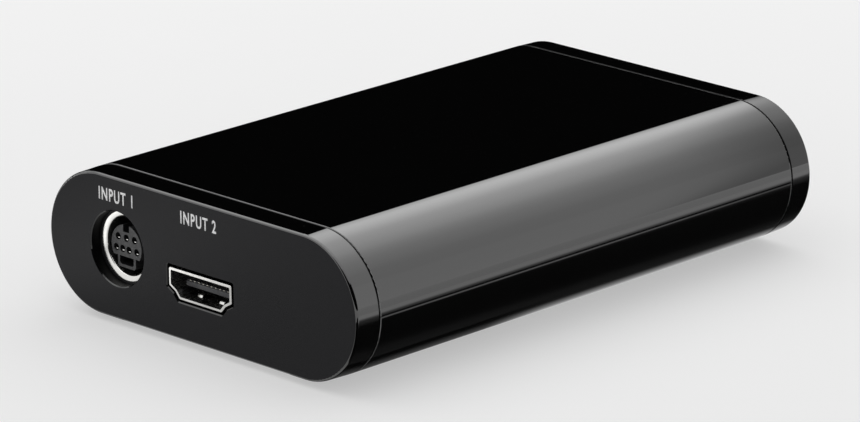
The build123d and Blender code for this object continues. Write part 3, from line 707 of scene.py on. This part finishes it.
def rolled_shield_shape(settings):
    """The round socket's shield: a tube whose front end is rolled outwards into a broad round lip."""
    low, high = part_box("av_socket_shield")
    lip_radius = (high.x - low.x) / 2
    outer_radius = TUBE_RADIUS + settings.lip_sheet
    lip_y = low.y + settings.lip_depth
    throat_y = low.y + settings.lip_flare
    profile = (
        (TUBE_RADIUS, high.y), (TUBE_RADIUS, throat_y + settings.lip_depth),
        (lip_radius - settings.lip_width, throat_y), (lip_radius, low.y),
        (lip_radius, lip_y), (outer_radius, lip_y), (outer_radius, high.y),
    )
    shape = turned_shape(profile, SHIELD_STEPS)
    round_rings(shape, low.y, settings.lip_edge, 5)
    round_rings(shape, throat_y, settings.throat_edge, 8)
    move(shape, x=ROUND_SOCKET_X, z=BOX_MIDDLE_Z)
    smooth_by_angle(shape, 40)
    return shape


def contact_places():
    """Where the round socket's seven contacts stand, across and up."""
    upper = [(x, UPPER_CONTACTS_RISE) for x in UPPER_CONTACTS]
    lower = [(x, LOWER_CONTACTS_RISE) for x in LOWER_CONTACTS]
    return [(ROUND_SOCKET_X + x * MM, BOX_MIDDLE_Z + z * MM) for x, z in upper + lower]


def funnelled_core_shape(settings):
    """The round socket's core, with each contact hole opening like a funnel at its mouth."""
    shape = node_shape("av_socket_core")
    front_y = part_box("av_socket_core")[0].y
    mouth = [vert for vert in shape.verts if abs(vert.co.y - front_y) < SAME]
    wider = (settings.hole_mouth, 1, settings.hole_mouth)
    for x, z in contact_places():
        centre = Vector((x, front_y, z))
        rim = [vert for vert in mouth if (vert.co - centre).length < HOLE_RADIUS + HOLE_SLACK]
        bmesh.ops.scale(shape, verts=rim, vec=wider, space=Matrix.Translation(-centre))
    smooth_by_angle(shape, 30)
    return shape


def contact_leaves_shape(settings):
    """The bright tips of the round socket's seven contact leaves, at the bottom of the holes."""
    front_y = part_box("av_socket_core")[0].y + settings.leaf_setback
    leaves = bmesh.new()
    for x, z in contact_places():
        made = bmesh.ops.create_cube(leaves, size=1)["verts"]
        bmesh.ops.scale(leaves, verts=made, vec=LEAF_SIZE)
        bmesh.ops.rotate(leaves, verts=made, cent=(0, 0, 0), matrix=Matrix.Rotation(LEAF_LEAN, 3, "X"))
        move(leaves, x, front_y + LEAF_BACK, z - LEAF_DROP, verts=made)
    round_edges(leaves, leaves.edges[:], LEAF_EDGE, 4)
    smooth_by_angle(leaves, 50)
    return leaves


def mouth_lip_shape(shell, end, settings):
    """A flat socket's lead-in lip: a narrow frame all round the inside of its shell's mouth."""
    low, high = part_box(shell)
    front_y = low.y if end < 0 else high.y
    shape = node_shape(shell)
    behind = [face for face in shape.faces if any(abs(vert.co.y - front_y) >= SAME for vert in face.verts)]
    bmesh.ops.delete(shape, geom=behind, context="FACES")
    # Of the rim's two outlines, the outer one goes: it is followed round from its widest point
    outlines = [edge for edge in shape.edges if len(edge.link_faces) == 1]
    outer, found = {max(shape.verts, key=lambda vert: vert.co.x)}, 0
    while len(outer) > found:
        found = len(outer)
        outer.update(vert for edge in outlines if outer & set(edge.verts) for vert in edge.verts)
    bmesh.ops.delete(shape, geom=shape.faces[:], context="FACES_ONLY")
    bmesh.ops.delete(shape, geom=list(outer), context="VERTS")
    mouth = bmesh.ops.contextual_create(shape, geom=shape.edges[:])["faces"]
    framed = bmesh.ops.inset_region(
        shape, faces=mouth, thickness=settings.mouth_lip, use_boundary=True, use_even_offset=True
    )["faces"]
    opening = [face for face in shape.faces if face not in set(framed)]
    bmesh.ops.delete(shape, geom=opening, context="FACES_ONLY")
    deep = bmesh.ops.extrude_face_region(shape, geom=shape.faces[:])
    move(shape, y=-end * settings.mouth_lip_depth, verts=new_points(deep))
    move(shape, y=end * LIP_PROUD)
    close_up(shape)
    smooth_by_angle(shape, 30)
    return shape


def tongue_nose_shape(contacts, end, settings):
    """The moulded nose of a video socket's tongue, which covers the tips of the lower contacts."""
    low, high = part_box(contacts)
    front_y = low.y if end < 0 else high.y
    shape = bmesh.new()
    bmesh.ops.create_cube(shape, size=1)
    size = (TONGUE_WIDTH, settings.nose_depth, TONGUE_THICKNESS - settings.nose_drop)
    bmesh.ops.scale(shape, verts=shape.verts[:], vec=size)
    top_z = high.z - settings.nose_drop
    move(shape, y=front_y + end * settings.nose_depth / 2, z=top_z - size[2] / 2)
    round_edges(shape, shape.edges[:], NOSE_EDGE, 3)
    smooth_by_angle(shape, 40)
    return shape


def spring_finger_shape(node, settings):
    """A stamped strip that lies on the wall, rises steeply to its crest and drops at its tip."""
    low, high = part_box(node)
    up = 1 if "lower" in node else -1
    inwards = 1 if node.startswith("video_in") else -1
    half = settings.finger_sheet / 2
    root_y = low.y if inwards > 0 else high.y
    wall_z = low.z + half if up > 0 else high.z - half
    rise = high.z - low.z - settings.finger_sheet
    reach = high.y - low.y
    shape = bmesh.new()
    points = [
        shape.verts.new((low.x, root_y + inwards * reach * along, wall_z + up * rise * height))
        for along, height in FINGER_BENDS
    ]
    lines = [shape.edges.new(pair) for pair in zip(points, points[1:])]
    swept = bmesh.ops.extrude_edge_only(shape, edges=lines)
    move(shape, x=high.x - low.x, verts=new_points(swept))
    folds = [edge for edge in shape.edges if len(edge.link_faces) == 2]
    round_edges(shape, folds, settings.finger_bend, 6)
    face_up(shape)
    bmesh.ops.solidify(shape, geom=shape.faces[:], thickness=settings.finger_sheet)
    bmesh.ops.recalc_face_normals(shape, faces=shape.faces[:])
    sides = [edge for edge in shape.edges if edge.calc_face_angle(0) > math.radians(60)]
    round_edges(shape, sides, settings.finger_edge, 2)
    heights = [vert.co.z for vert in shape.verts]
    move(shape, z=low.z - min(heights) if up > 0 else high.z - max(heights))
    smooth_by_angle(shape, 40)
    return shape


def label_shape(text, centre_x, face_y, settings):
    """A printed word on an end face, as a thin mesh with its foot on the face."""
    curve = bpy.data.curves.new("label", "FONT")
    curve.body = text
    curve.align_x = "CENTER"
    curve.resolution_u = 6
    curve.space_character = settings.spacing
    curve.offset = settings.boldness / settings.letter_height * CAPITALS_HEIGHT
    holder = bpy.data.objects.new("label", curve)
    bpy.context.scene.collection.objects.link(holder)
    bpy.context.view_layer.update()
    drawn = bpy.data.meshes.new_from_object(holder)
    bpy.data.objects.remove(holder)
    bpy.data.curves.remove(curve)
    shape = bmesh.new()
    shape.from_mesh(drawn)
    bpy.data.meshes.remove(drawn)
    bmesh.ops.remove_doubles(shape, verts=shape.verts[:], dist=SAME_IN_FONT)
    face_up(shape)
    across = [vert.co.x for vert in shape.verts]
    heights = [vert.co.y for vert in shape.verts]
    move(shape, -(min(across) + max(across)) / 2, -(min(heights) + max(heights)) / 2)
    size = settings.letter_height / (max(heights) - min(heights))
    bmesh.ops.scale(shape, verts=shape.verts[:], vec=(size * settings.condense, size, 1))
    raised = bmesh.ops.extrude_face_region(shape, geom=shape.faces[:])
    move(shape, z=settings.ink, verts=new_points(raised))
    bmesh.ops.recalc_face_normals(shape, faces=shape.faces[:])
    stand = Matrix.Rotation(math.pi / 2, 4, "X")
    if face_y > 0:
        stand = Matrix.Rotation(math.pi, 4, "Z") @ stand
    place = Matrix.Translation((centre_x, face_y, BOX_MIDDLE_Z + settings.height))
    bmesh.ops.transform(shape, matrix=place @ stand, verts=shape.verts[:])
    return shape


class CAPTURE_OT_case(bpy.types.Operator):
    """Polished shells and end caps with their matt faces"""

    bl_idname = "capture_box.case"
    bl_label = "Case"

    def execute(self, context):
        """Give the shells and caps their finishes."""
        settings = context.scene.capture_case
        finish_nodes(polished_black_abs(settings), "upper_shell", "lower_shell")
        finish_nodes(textured_black_abs(settings), "front_end_cap", "rear_end_cap")
        return {"FINISHED"}


class CAPTURE_OT_fixings(bpy.types.Operator):
    """Rubber feet and the case screws under them"""

    bl_idname = "capture_box.fixings"
    bl_label = "Feet and screws"

    def execute(self, context):
        """Give the feet and screws their finishes."""
        finish_nodes(moulded_rubber(context.scene.capture_case), "foot_")
        finish_nodes(zinc_plated_steel(), "case_screws")
        return {"FINISHED"}


class CAPTURE_OT_sockets(bpy.types.Operator):
    """The round socket, both video sockets and the data socket"""

    bl_idname = "capture_box.sockets"
    bl_label = "Sockets"

    def execute(self, context):
        """Finish the sockets and make the flared shield and the spring fingers."""
        settings = context.scene.capture_sockets
        metal = nickel_plated_steel(settings)
        finish_nodes(metal, "video_in_shell", "video_out_shell", "data_socket_shell", "_shield", "_finger_")
        finish_nodes(gold_plated_brass(settings), "_contacts")
        plastic = glass_filled_polyester("dark_glass_filled_polyester", settings.plastic_colour)
        tongue = glass_filled_polyester("grey_glass_filled_polyester", settings.tongue_colour)
        finish_nodes(plastic, "av_socket_housing", "av_socket_core")
        finish_nodes(tongue, "_insulator")
        rim = rolled_nickel_rim(settings)
        bell, core = rolled_shield_shape(settings), funnelled_core_shape(settings)
        new_piece("av_shield_bell", bell, "box", "plated_metal", rim, "av_socket_shield")
        new_piece("av_core_face", core, "box", "socket_plastic", plastic, "av_socket_core")
        new_piece("av_contact_leaves", contact_leaves_shape(settings), "box", "plated_metal", rim)
        for name, end in (("video_in", -1), ("video_out", 1)):
            nose = tongue_nose_shape(name + "_contacts", end, settings)
            new_piece(name + "_tongue_nose", nose, "box", "socket_plastic", tongue)
            lip = mouth_lip_shape(name + "_shell", end, settings)
            new_piece(name + "_mouth_lip", lip, "box", "plated_metal", metal)
        for name in nodes_with("_finger_"):
            strip = spring_finger_shape(name, settings)
            new_piece(name + "_strip", strip, name, "plated_metal", metal, name)
        return {"FINISHED"}


class CAPTURE_OT_board(bpy.types.Operator):
    """The circuit board and the parts on it"""

    bl_idname = "capture_box.board"
    bl_label = "Circuit board"

    def execute(self, context):
        """Give the board and its parts their finishes."""
        settings = context.scene.capture_board
        finish_nodes(lacquered_glass_laminate(settings), "main_board")
        finish_nodes(moulded_epoxy(settings), "_chip", "power_regulator")
        finish_nodes(drawn_steel_lid(), "clock_crystal")
        finish_nodes(sintered_ferrite(settings), "power_inductor")
        finish_nodes(drawn_aluminium_can(), "can_capacitor")
        finish_nodes(fired_ceramic("fired_capacitor_ceramic", settings.ceramic_colour), "ceramic_capacitors")
        finish_nodes(fired_ceramic("glazed_resistor_ceramic", settings.resistor_colour), "chip_resistors")
        return {"FINISHED"}


class CAPTURE_OT_labels(bpy.types.Operator):
    """The printed words over the sockets"""

    bl_idname = "capture_box.labels"
    bl_label = "Labels"

    def execute(self, context):
        """Print a plain word over each socket."""
        settings = context.scene.capture_labels
        ink = printed_ink(settings)
        words = (
            ("label_first_input", settings.first_input, ROUND_SOCKET_X, FACE_FRONT_Y),
            ("label_second_input", settings.second_input, 0, FACE_FRONT_Y),
            ("label_output", settings.output, 0, FACE_REAR_Y),
            ("label_data", settings.data, DATA_SOCKET_X, FACE_REAR_Y),
        )
        for name, text, centre_x, face_y in words:
            new_piece(name, label_shape(text, centre_x, face_y, settings), "box", "gloss_case", ink)
        return {"FINISHED"}


def stage_object(name, shape, material, unseen=MIRRORED_ONLY):
    """Make an object of the studio, not of the box, and hide it from some kinds of ray."""
    thing = add_object(name, shape, material)
    for kind in unseen:
        setattr(thing, "visible_" + kind, False)


def flat_shape(x_range, y_range, z):
    """A level rectangle that faces up."""
    shape = bmesh.new()
    bmesh.ops.create_grid(shape, x_segments=1, y_segments=1, size=0.5)
    size = (x_range[1] - x_range[0], y_range[1] - y_range[0], 1)
    bmesh.ops.scale(shape, verts=shape.verts[:], vec=size)
    move(shape, sum(x_range) / 2, sum(y_range) / 2, z)
    return shape


def card_shape(corners, z):
    """A level card with the given corners."""
    shape = bmesh.new()
    shape.faces.new([shape.verts.new((x, y, z)) for x, y in corners])
    return shape


def wall_shape(span, height):
    """A round wall 1 m from the middle, between two bearings in degrees."""
    start, end = [math.radians(bearing) for bearing in span]
    shape = bmesh.new()
    shape.edges.new([shape.verts.new((math.sin(start), math.cos(start), z)) for z in (0, height)])
    bmesh.ops.spin(
        shape, geom=shape.verts[:] + shape.edges[:], cent=(0, 0, 0), axis=(0, 0, 1),
        angle=start - end, steps=WALL_STEPS, use_merge=False, use_duplicate=False,
    )
    return shape


def graded(factor, stops):
    """A grey ramp along a factor. stops are pairs of a place and a level, from nothing to one."""
    ramp = add_node(factor.id_data, "ValToRGB", {0: factor})
    elements = ramp.color_ramp.elements
    for position, level in stops[1:-1]:
        elements.new(position).color = (level, level, level, 1)
    for element, (position, level) in ((elements[0], stops[0]), (elements[-1], stops[-1])):
        element.position = position
        element.color = (level, level, level, 1)
    return ramp.outputs["Color"]


def graded_over(value, levels, unit=1):
    """A grey ramp over a distance. levels are pairs of a distance, in so many metres, and a level."""
    near, far = levels[0][0], levels[-1][0]
    factor = map_range(value, (near * unit, far * unit))
    return graded(factor, [((x - near) / (far - near), level) for x, level in levels])


def start_glow(name):
    """An empty material for what shines, or stays dark, in a mirror."""
    material = bpy.data.materials.new(name)
    material.use_nodes = True
    material.node_tree.nodes.clear()
    return material, material.node_tree


def glow(tree, values):
    """Light of a given colour and strength, white and plain unless they are named."""
    return add_node(tree, "Emission", values).outputs[0]


def mix_shaders(factor, first, second):
    """Let one shader run into another."""
    return add_node(factor.id_data, "MixShader", {0: factor, 1: first, 2: second}).outputs[0]


def show(surface):
    """Make a shader what an empty material shows."""
    add_node(surface.id_data, "OutputMaterial", {"Surface": surface})


def painted_black_reflection():
    """A painted black reflection, seen only in gloss: a near-black glow for dark surroundings and for shade.
    """
    material, tree = start_glow("painted_black_reflection")
    show(glow(tree, {"Color": (*linear("#030303"), 1)}))
    return material


def painted_shade_felt():
    """Painted shade beside the box, black where the lower side's gloss sees it, fading into the pale floor.
    """
    material, tree = start_glow("painted_shade_felt")
    x, y, z = object_axes(tree)
    aslant = maths("MULTIPLY", maths("SUBTRACT", y, FELT_MIDDLE_Y), FELT_SLANT)
    across = maths("ADD", x, aslant)
    show(glow(tree, {"Color": graded_over(across, FELT_PAINTED_SHADE_LEVELS, MM)}))
    return material


def painted_shade_reflector():
    """Glowing card under the box's side, seen only in gloss, its shade from the box painted: paler to the
    rear.
    """
    material, tree = start_glow("painted_shade_reflector")
    x, y, z = object_axes(tree)
    across = map_range(maths("ABSOLUTE", x), REFLECTOR_ACROSS)
    inner = graded(across, REFLECTOR_PAINTED_SHADE_ACROSS)
    rear = graded(map_range(y, REFLECTOR_ALONG), REFLECTOR_PAINTED_SHADE_ALONG)
    show(glow(tree, {"Strength": maths("MULTIPLY", inner, rear)}))
    return material


def painted_light_card():
    """A painted pool of light on the paper before the matt face, seen only in gloss, brightest at its middle.
    """
    material, tree = start_glow("painted_light_card")
    centred = maths("SUBTRACT", object_place(tree), (*PAINTED_LIGHT_MIDDLE, 0), kind="VectorMath")
    peak = PAINTED_LIGHT_LEVELS[0][1]
    levels = [(reach, level / peak) for reach, level in PAINTED_LIGHT_LEVELS]
    grey = graded_over(size_of(centred), levels, MM)
    show(glow(tree, {"Color": grey, "Strength": peak}))
    return material


def painted_shade_net(settings):
    """A round net behind the box, seen only in gloss, denser towards its middle: painted shade on what the
    far end mirrors.
    """
    material, tree = start_glow("painted_shade_net")
    centre = (NET_MIDDLE_X, settings.net_distance, BOX_MIDDLE_Z - NET_DROP)
    centred = maths("SUBTRACT", object_place(tree), centre, kind="VectorMath")
    squeezed = maths("MULTIPLY", centred, (NET_SQUEEZE, 1, 1), kind="VectorMath")
    density = graded(map_range(size_of(squeezed), NET_RADII), NET_PAINTED_SHADE_DENSITY)
    clear = add_node(tree, "BsdfTransparent").outputs[0]
    show(mix_shaders(density, clear, glow(tree, {"Strength": 0.0})))
    return material


def floor_paper(settings):
    """Seamless background paper, rolled out: pale, quite matt, and white where it runs out of sight."""
    base = settings.floor_colour
    material, tree, shader = start_material("floor_paper", base, roughness=1.0, specular_ior_level=0.0)
    tint(shader, mottle(tree, 60), base, shade(base, 0.99))
    rays = add_node(tree, "LightPath").outputs
    white = map_range(size_of(object_place(tree)), FLOOR_FADE, FLOOR_WHITE)
    white = maths("MULTIPLY", white, maths("SUBTRACT", 1.0, rays["Is Diffuse Ray"]))
    paper = mix_shaders(white, shader.outputs[0], glow(tree, {"Color": (1, 1, 1, 1)}))
    # From below the camera looks through the paper, so that the underside can be seen
    below = add_node(tree, "NewGeometry").outputs["Backfacing"]
    through = maths("MULTIPLY", below, rays["Is Camera Ray"])
    clear = add_node(tree, "BsdfTransparent").outputs[0]
    shown = mix_shaders(through, paper, clear)
    tree.links.new(shown, tree.nodes["Material Output"].inputs["Surface"])
    return material


def softbox_cloth(settings):
    """Lit diffuser cloth of a softbox, brightest over its left half."""
    material, tree = start_glow("softbox_cloth")
    x, y, z = object_axes(tree)
    rays = add_node(tree, "LightPath").outputs
    level = blend(rays["Is Diffuse Ray"], settings.softbox_gloss, settings.softbox_level)
    show(glow(tree, {"Color": graded_over(x, SOFTBOX_LEVELS), "Strength": level}))
    return material


def white_room(settings):
    """The white room round the set: plain white where it is seen or mirrored, softer as a light."""
    world = bpy.data.worlds.new("white_room")
    world.use_nodes = True
    tree = world.node_tree
    tree.nodes.clear()
    rays = add_node(tree, "LightPath").outputs
    seen = maths("MAXIMUM", rays["Is Camera Ray"], rays["Is Glossy Ray"])
    seen = maths("MAXIMUM", seen, rays["Is Transmission Ray"])
    level = blend(seen, settings.sky_level, 1.0)
    sky = add_node(tree, "Background", {"Color": (1, 1, 1, 1), "Strength": level}).outputs[0]
    add_node(tree, "OutputWorld", {"Surface": sky})
    bpy.context.scene.world = world


class CAPTURE_OT_camera(bpy.types.Operator):
    """A long lens at the photograph's angle"""

    bl_idname = "capture_box.camera"
    bl_label = "Camera"

    def execute(self, context):
        """Place the camera and make it the scene's."""
        settings = context.scene.capture_studio
        data = bpy.data.cameras.new("photo_camera")
        data.lens = settings.lens
        data.sensor_width = SENSOR_WIDTH
        data.shift_x, data.shift_y = CAMERA_SHIFT
        data.clip_start, data.clip_end = CLIP_NEAR, CLIP_FAR
        camera = bpy.data.objects.new("photo_camera", data)
        context.scene.collection.objects.link(camera)
        level = math.cos(settings.elevation)
        back = Vector((
            math.sin(settings.azimuth) * level,
            -math.cos(settings.azimuth) * level,
            math.sin(settings.elevation),
        ))
        camera.location = Vector((0, 0, BOX_MIDDLE_Z)) + back * settings.distance
        aim = (-back).to_track_quat("-Z", "Y") @ Quaternion((0, 0, 1), settings.tilt)
        camera.rotation_euler = aim.to_euler()
        context.scene.camera = camera
        return {"FINISHED"}


class CAPTURE_OT_studio(bpy.types.Operator):
    """Pale floor, white room, softbox, and the painted reflections, shade and light that only the gloss sees
    """

    bl_idname = "capture_box.studio"
    bl_label = "Studio"

    def execute(self, context):
        """Lay the floor and hang the lights."""
        settings = context.scene.capture_studio
        floor = bmesh.new()
        bmesh.ops.create_circle(floor, cap_ends=True, segments=CIRCLE_STEPS, radius=settings.floor_radius)
        stage_object("studio_floor", floor, floor_paper(settings), unseen=())
        white_room(settings)
        cloth = card_shape(SOFTBOX_CORNERS, settings.card_height)
        stage_object("studio_softbox", cloth, softbox_cloth(settings), unseen=("camera", "shadow"))
        dark_reflection = painted_black_reflection()
        stage_object("studio_flag", card_shape(FLAG_CORNERS, settings.card_height), dark_reflection)
        reflector = painted_shade_reflector()
        for side in (-1, 1):
            under = sorted((side * REFLECTOR_INNER, side * FELT_NEAR))
            stage_object("studio_painted_shade_reflector", flat_shape(under, FELT_LENGTH, SHEET_HEIGHT), reflector)
        beside = flat_shape((FELT_NEAR, FELT_FAR), FELT_LENGTH, SHEET_HEIGHT)
        stage_object("studio_painted_shade_felt", beside, painted_shade_felt())
        for across, along in PAINTED_BLACK_PATCHES:
            patch = flat_shape([x * MM for x in across], [y * MM for y in along], PAINTED_BLACK_HEIGHT)
            stage_object("studio_painted_black_patch", patch, dark_reflection)
        x, y = PAINTED_LIGHT_MIDDLE
        reach = PAINTED_LIGHT_LEVELS[-1][0] * MM
        pool = flat_shape((x - reach, x + reach), (y - reach, FACE_FRONT_Y), GLOW_HEIGHT)
        stage_object("studio_painted_light_card", pool, painted_light_card())
        net = bmesh.new()
        bmesh.ops.create_circle(net, cap_ends=True, segments=CIRCLE_STEPS, radius=NET_SIZE)
        bmesh.ops.rotate(net, verts=net.verts[:], matrix=Matrix.Rotation(math.pi / 2, 3, "X"))
        move(net, NET_MIDDLE_X, settings.net_distance, BOX_MIDDLE_Z)
        stage_object("studio_painted_shade_net", net, painted_shade_net(settings))
        for span, height in ((WALL_SPAN, settings.wall_height), (TALL_WALL_SPAN, TALL_WALL_HEIGHT)):
            stage_object("studio_dark_wall", wall_shape(span, height), dark_reflection)
        context.scene.view_settings.view_transform = "Standard"
        return {"FINISHED"}


STEPS = (
    CAPTURE_OT_camera,
    CAPTURE_OT_case,
    CAPTURE_OT_fixings,
    CAPTURE_OT_sockets,
    CAPTURE_OT_board,
    CAPTURE_OT_labels,
    CAPTURE_OT_studio,
)
GROUPS = (
    ("capture_case", CaseSettings),
    ("capture_sockets", SocketSettings),
    ("capture_labels", LabelSettings),
    ("capture_board", BoardSettings),
    ("capture_studio", StudioSettings),
)


class CAPTURE_PT_panel(bpy.types.Panel):
    """The capture box's settings and steps"""

    bl_idname = "CAPTURE_PT_panel"
    bl_label = "Video capture box"
    bl_space_type = "VIEW_3D"
    bl_region_type = "UI"
    bl_category = "Capture box"

    def draw(self, context):
        """List every step, and then the settings."""
        for step in STEPS:
            self.layout.operator(step.bl_idname)
        for name, group in GROUPS:
            box = self.layout.box()
            for setting in group.__annotations__:
                box.prop(getattr(context.scene, name), setting)


def register():
    """Make the settings, the steps and the panel known to Blender."""
    for name, group in GROUPS:
        bpy.utils.register_class(group)
        setattr(bpy.types.Scene, name, PointerProperty(type=group))
    for step in STEPS:
        bpy.utils.register_class(step)
    bpy.utils.register_class(CAPTURE_PT_panel)


def unregister():
    """Take the panel, the steps and the settings away again."""
    bpy.utils.unregister_class(CAPTURE_PT_panel)
    for step in reversed(STEPS):
        bpy.utils.unregister_class(step)
    for name, group in reversed(GROUPS):
        delattr(bpy.types.Scene, name)
        bpy.utils.unregister_class(group)


def main():
    """Run every step in order."""
    register()
    for name in ("camera", "case", "fixings", "sockets", "board", "labels", "studio"):
        getattr(bpy.ops.capture_box, name)()


if __name__ == "__main__":
    main()
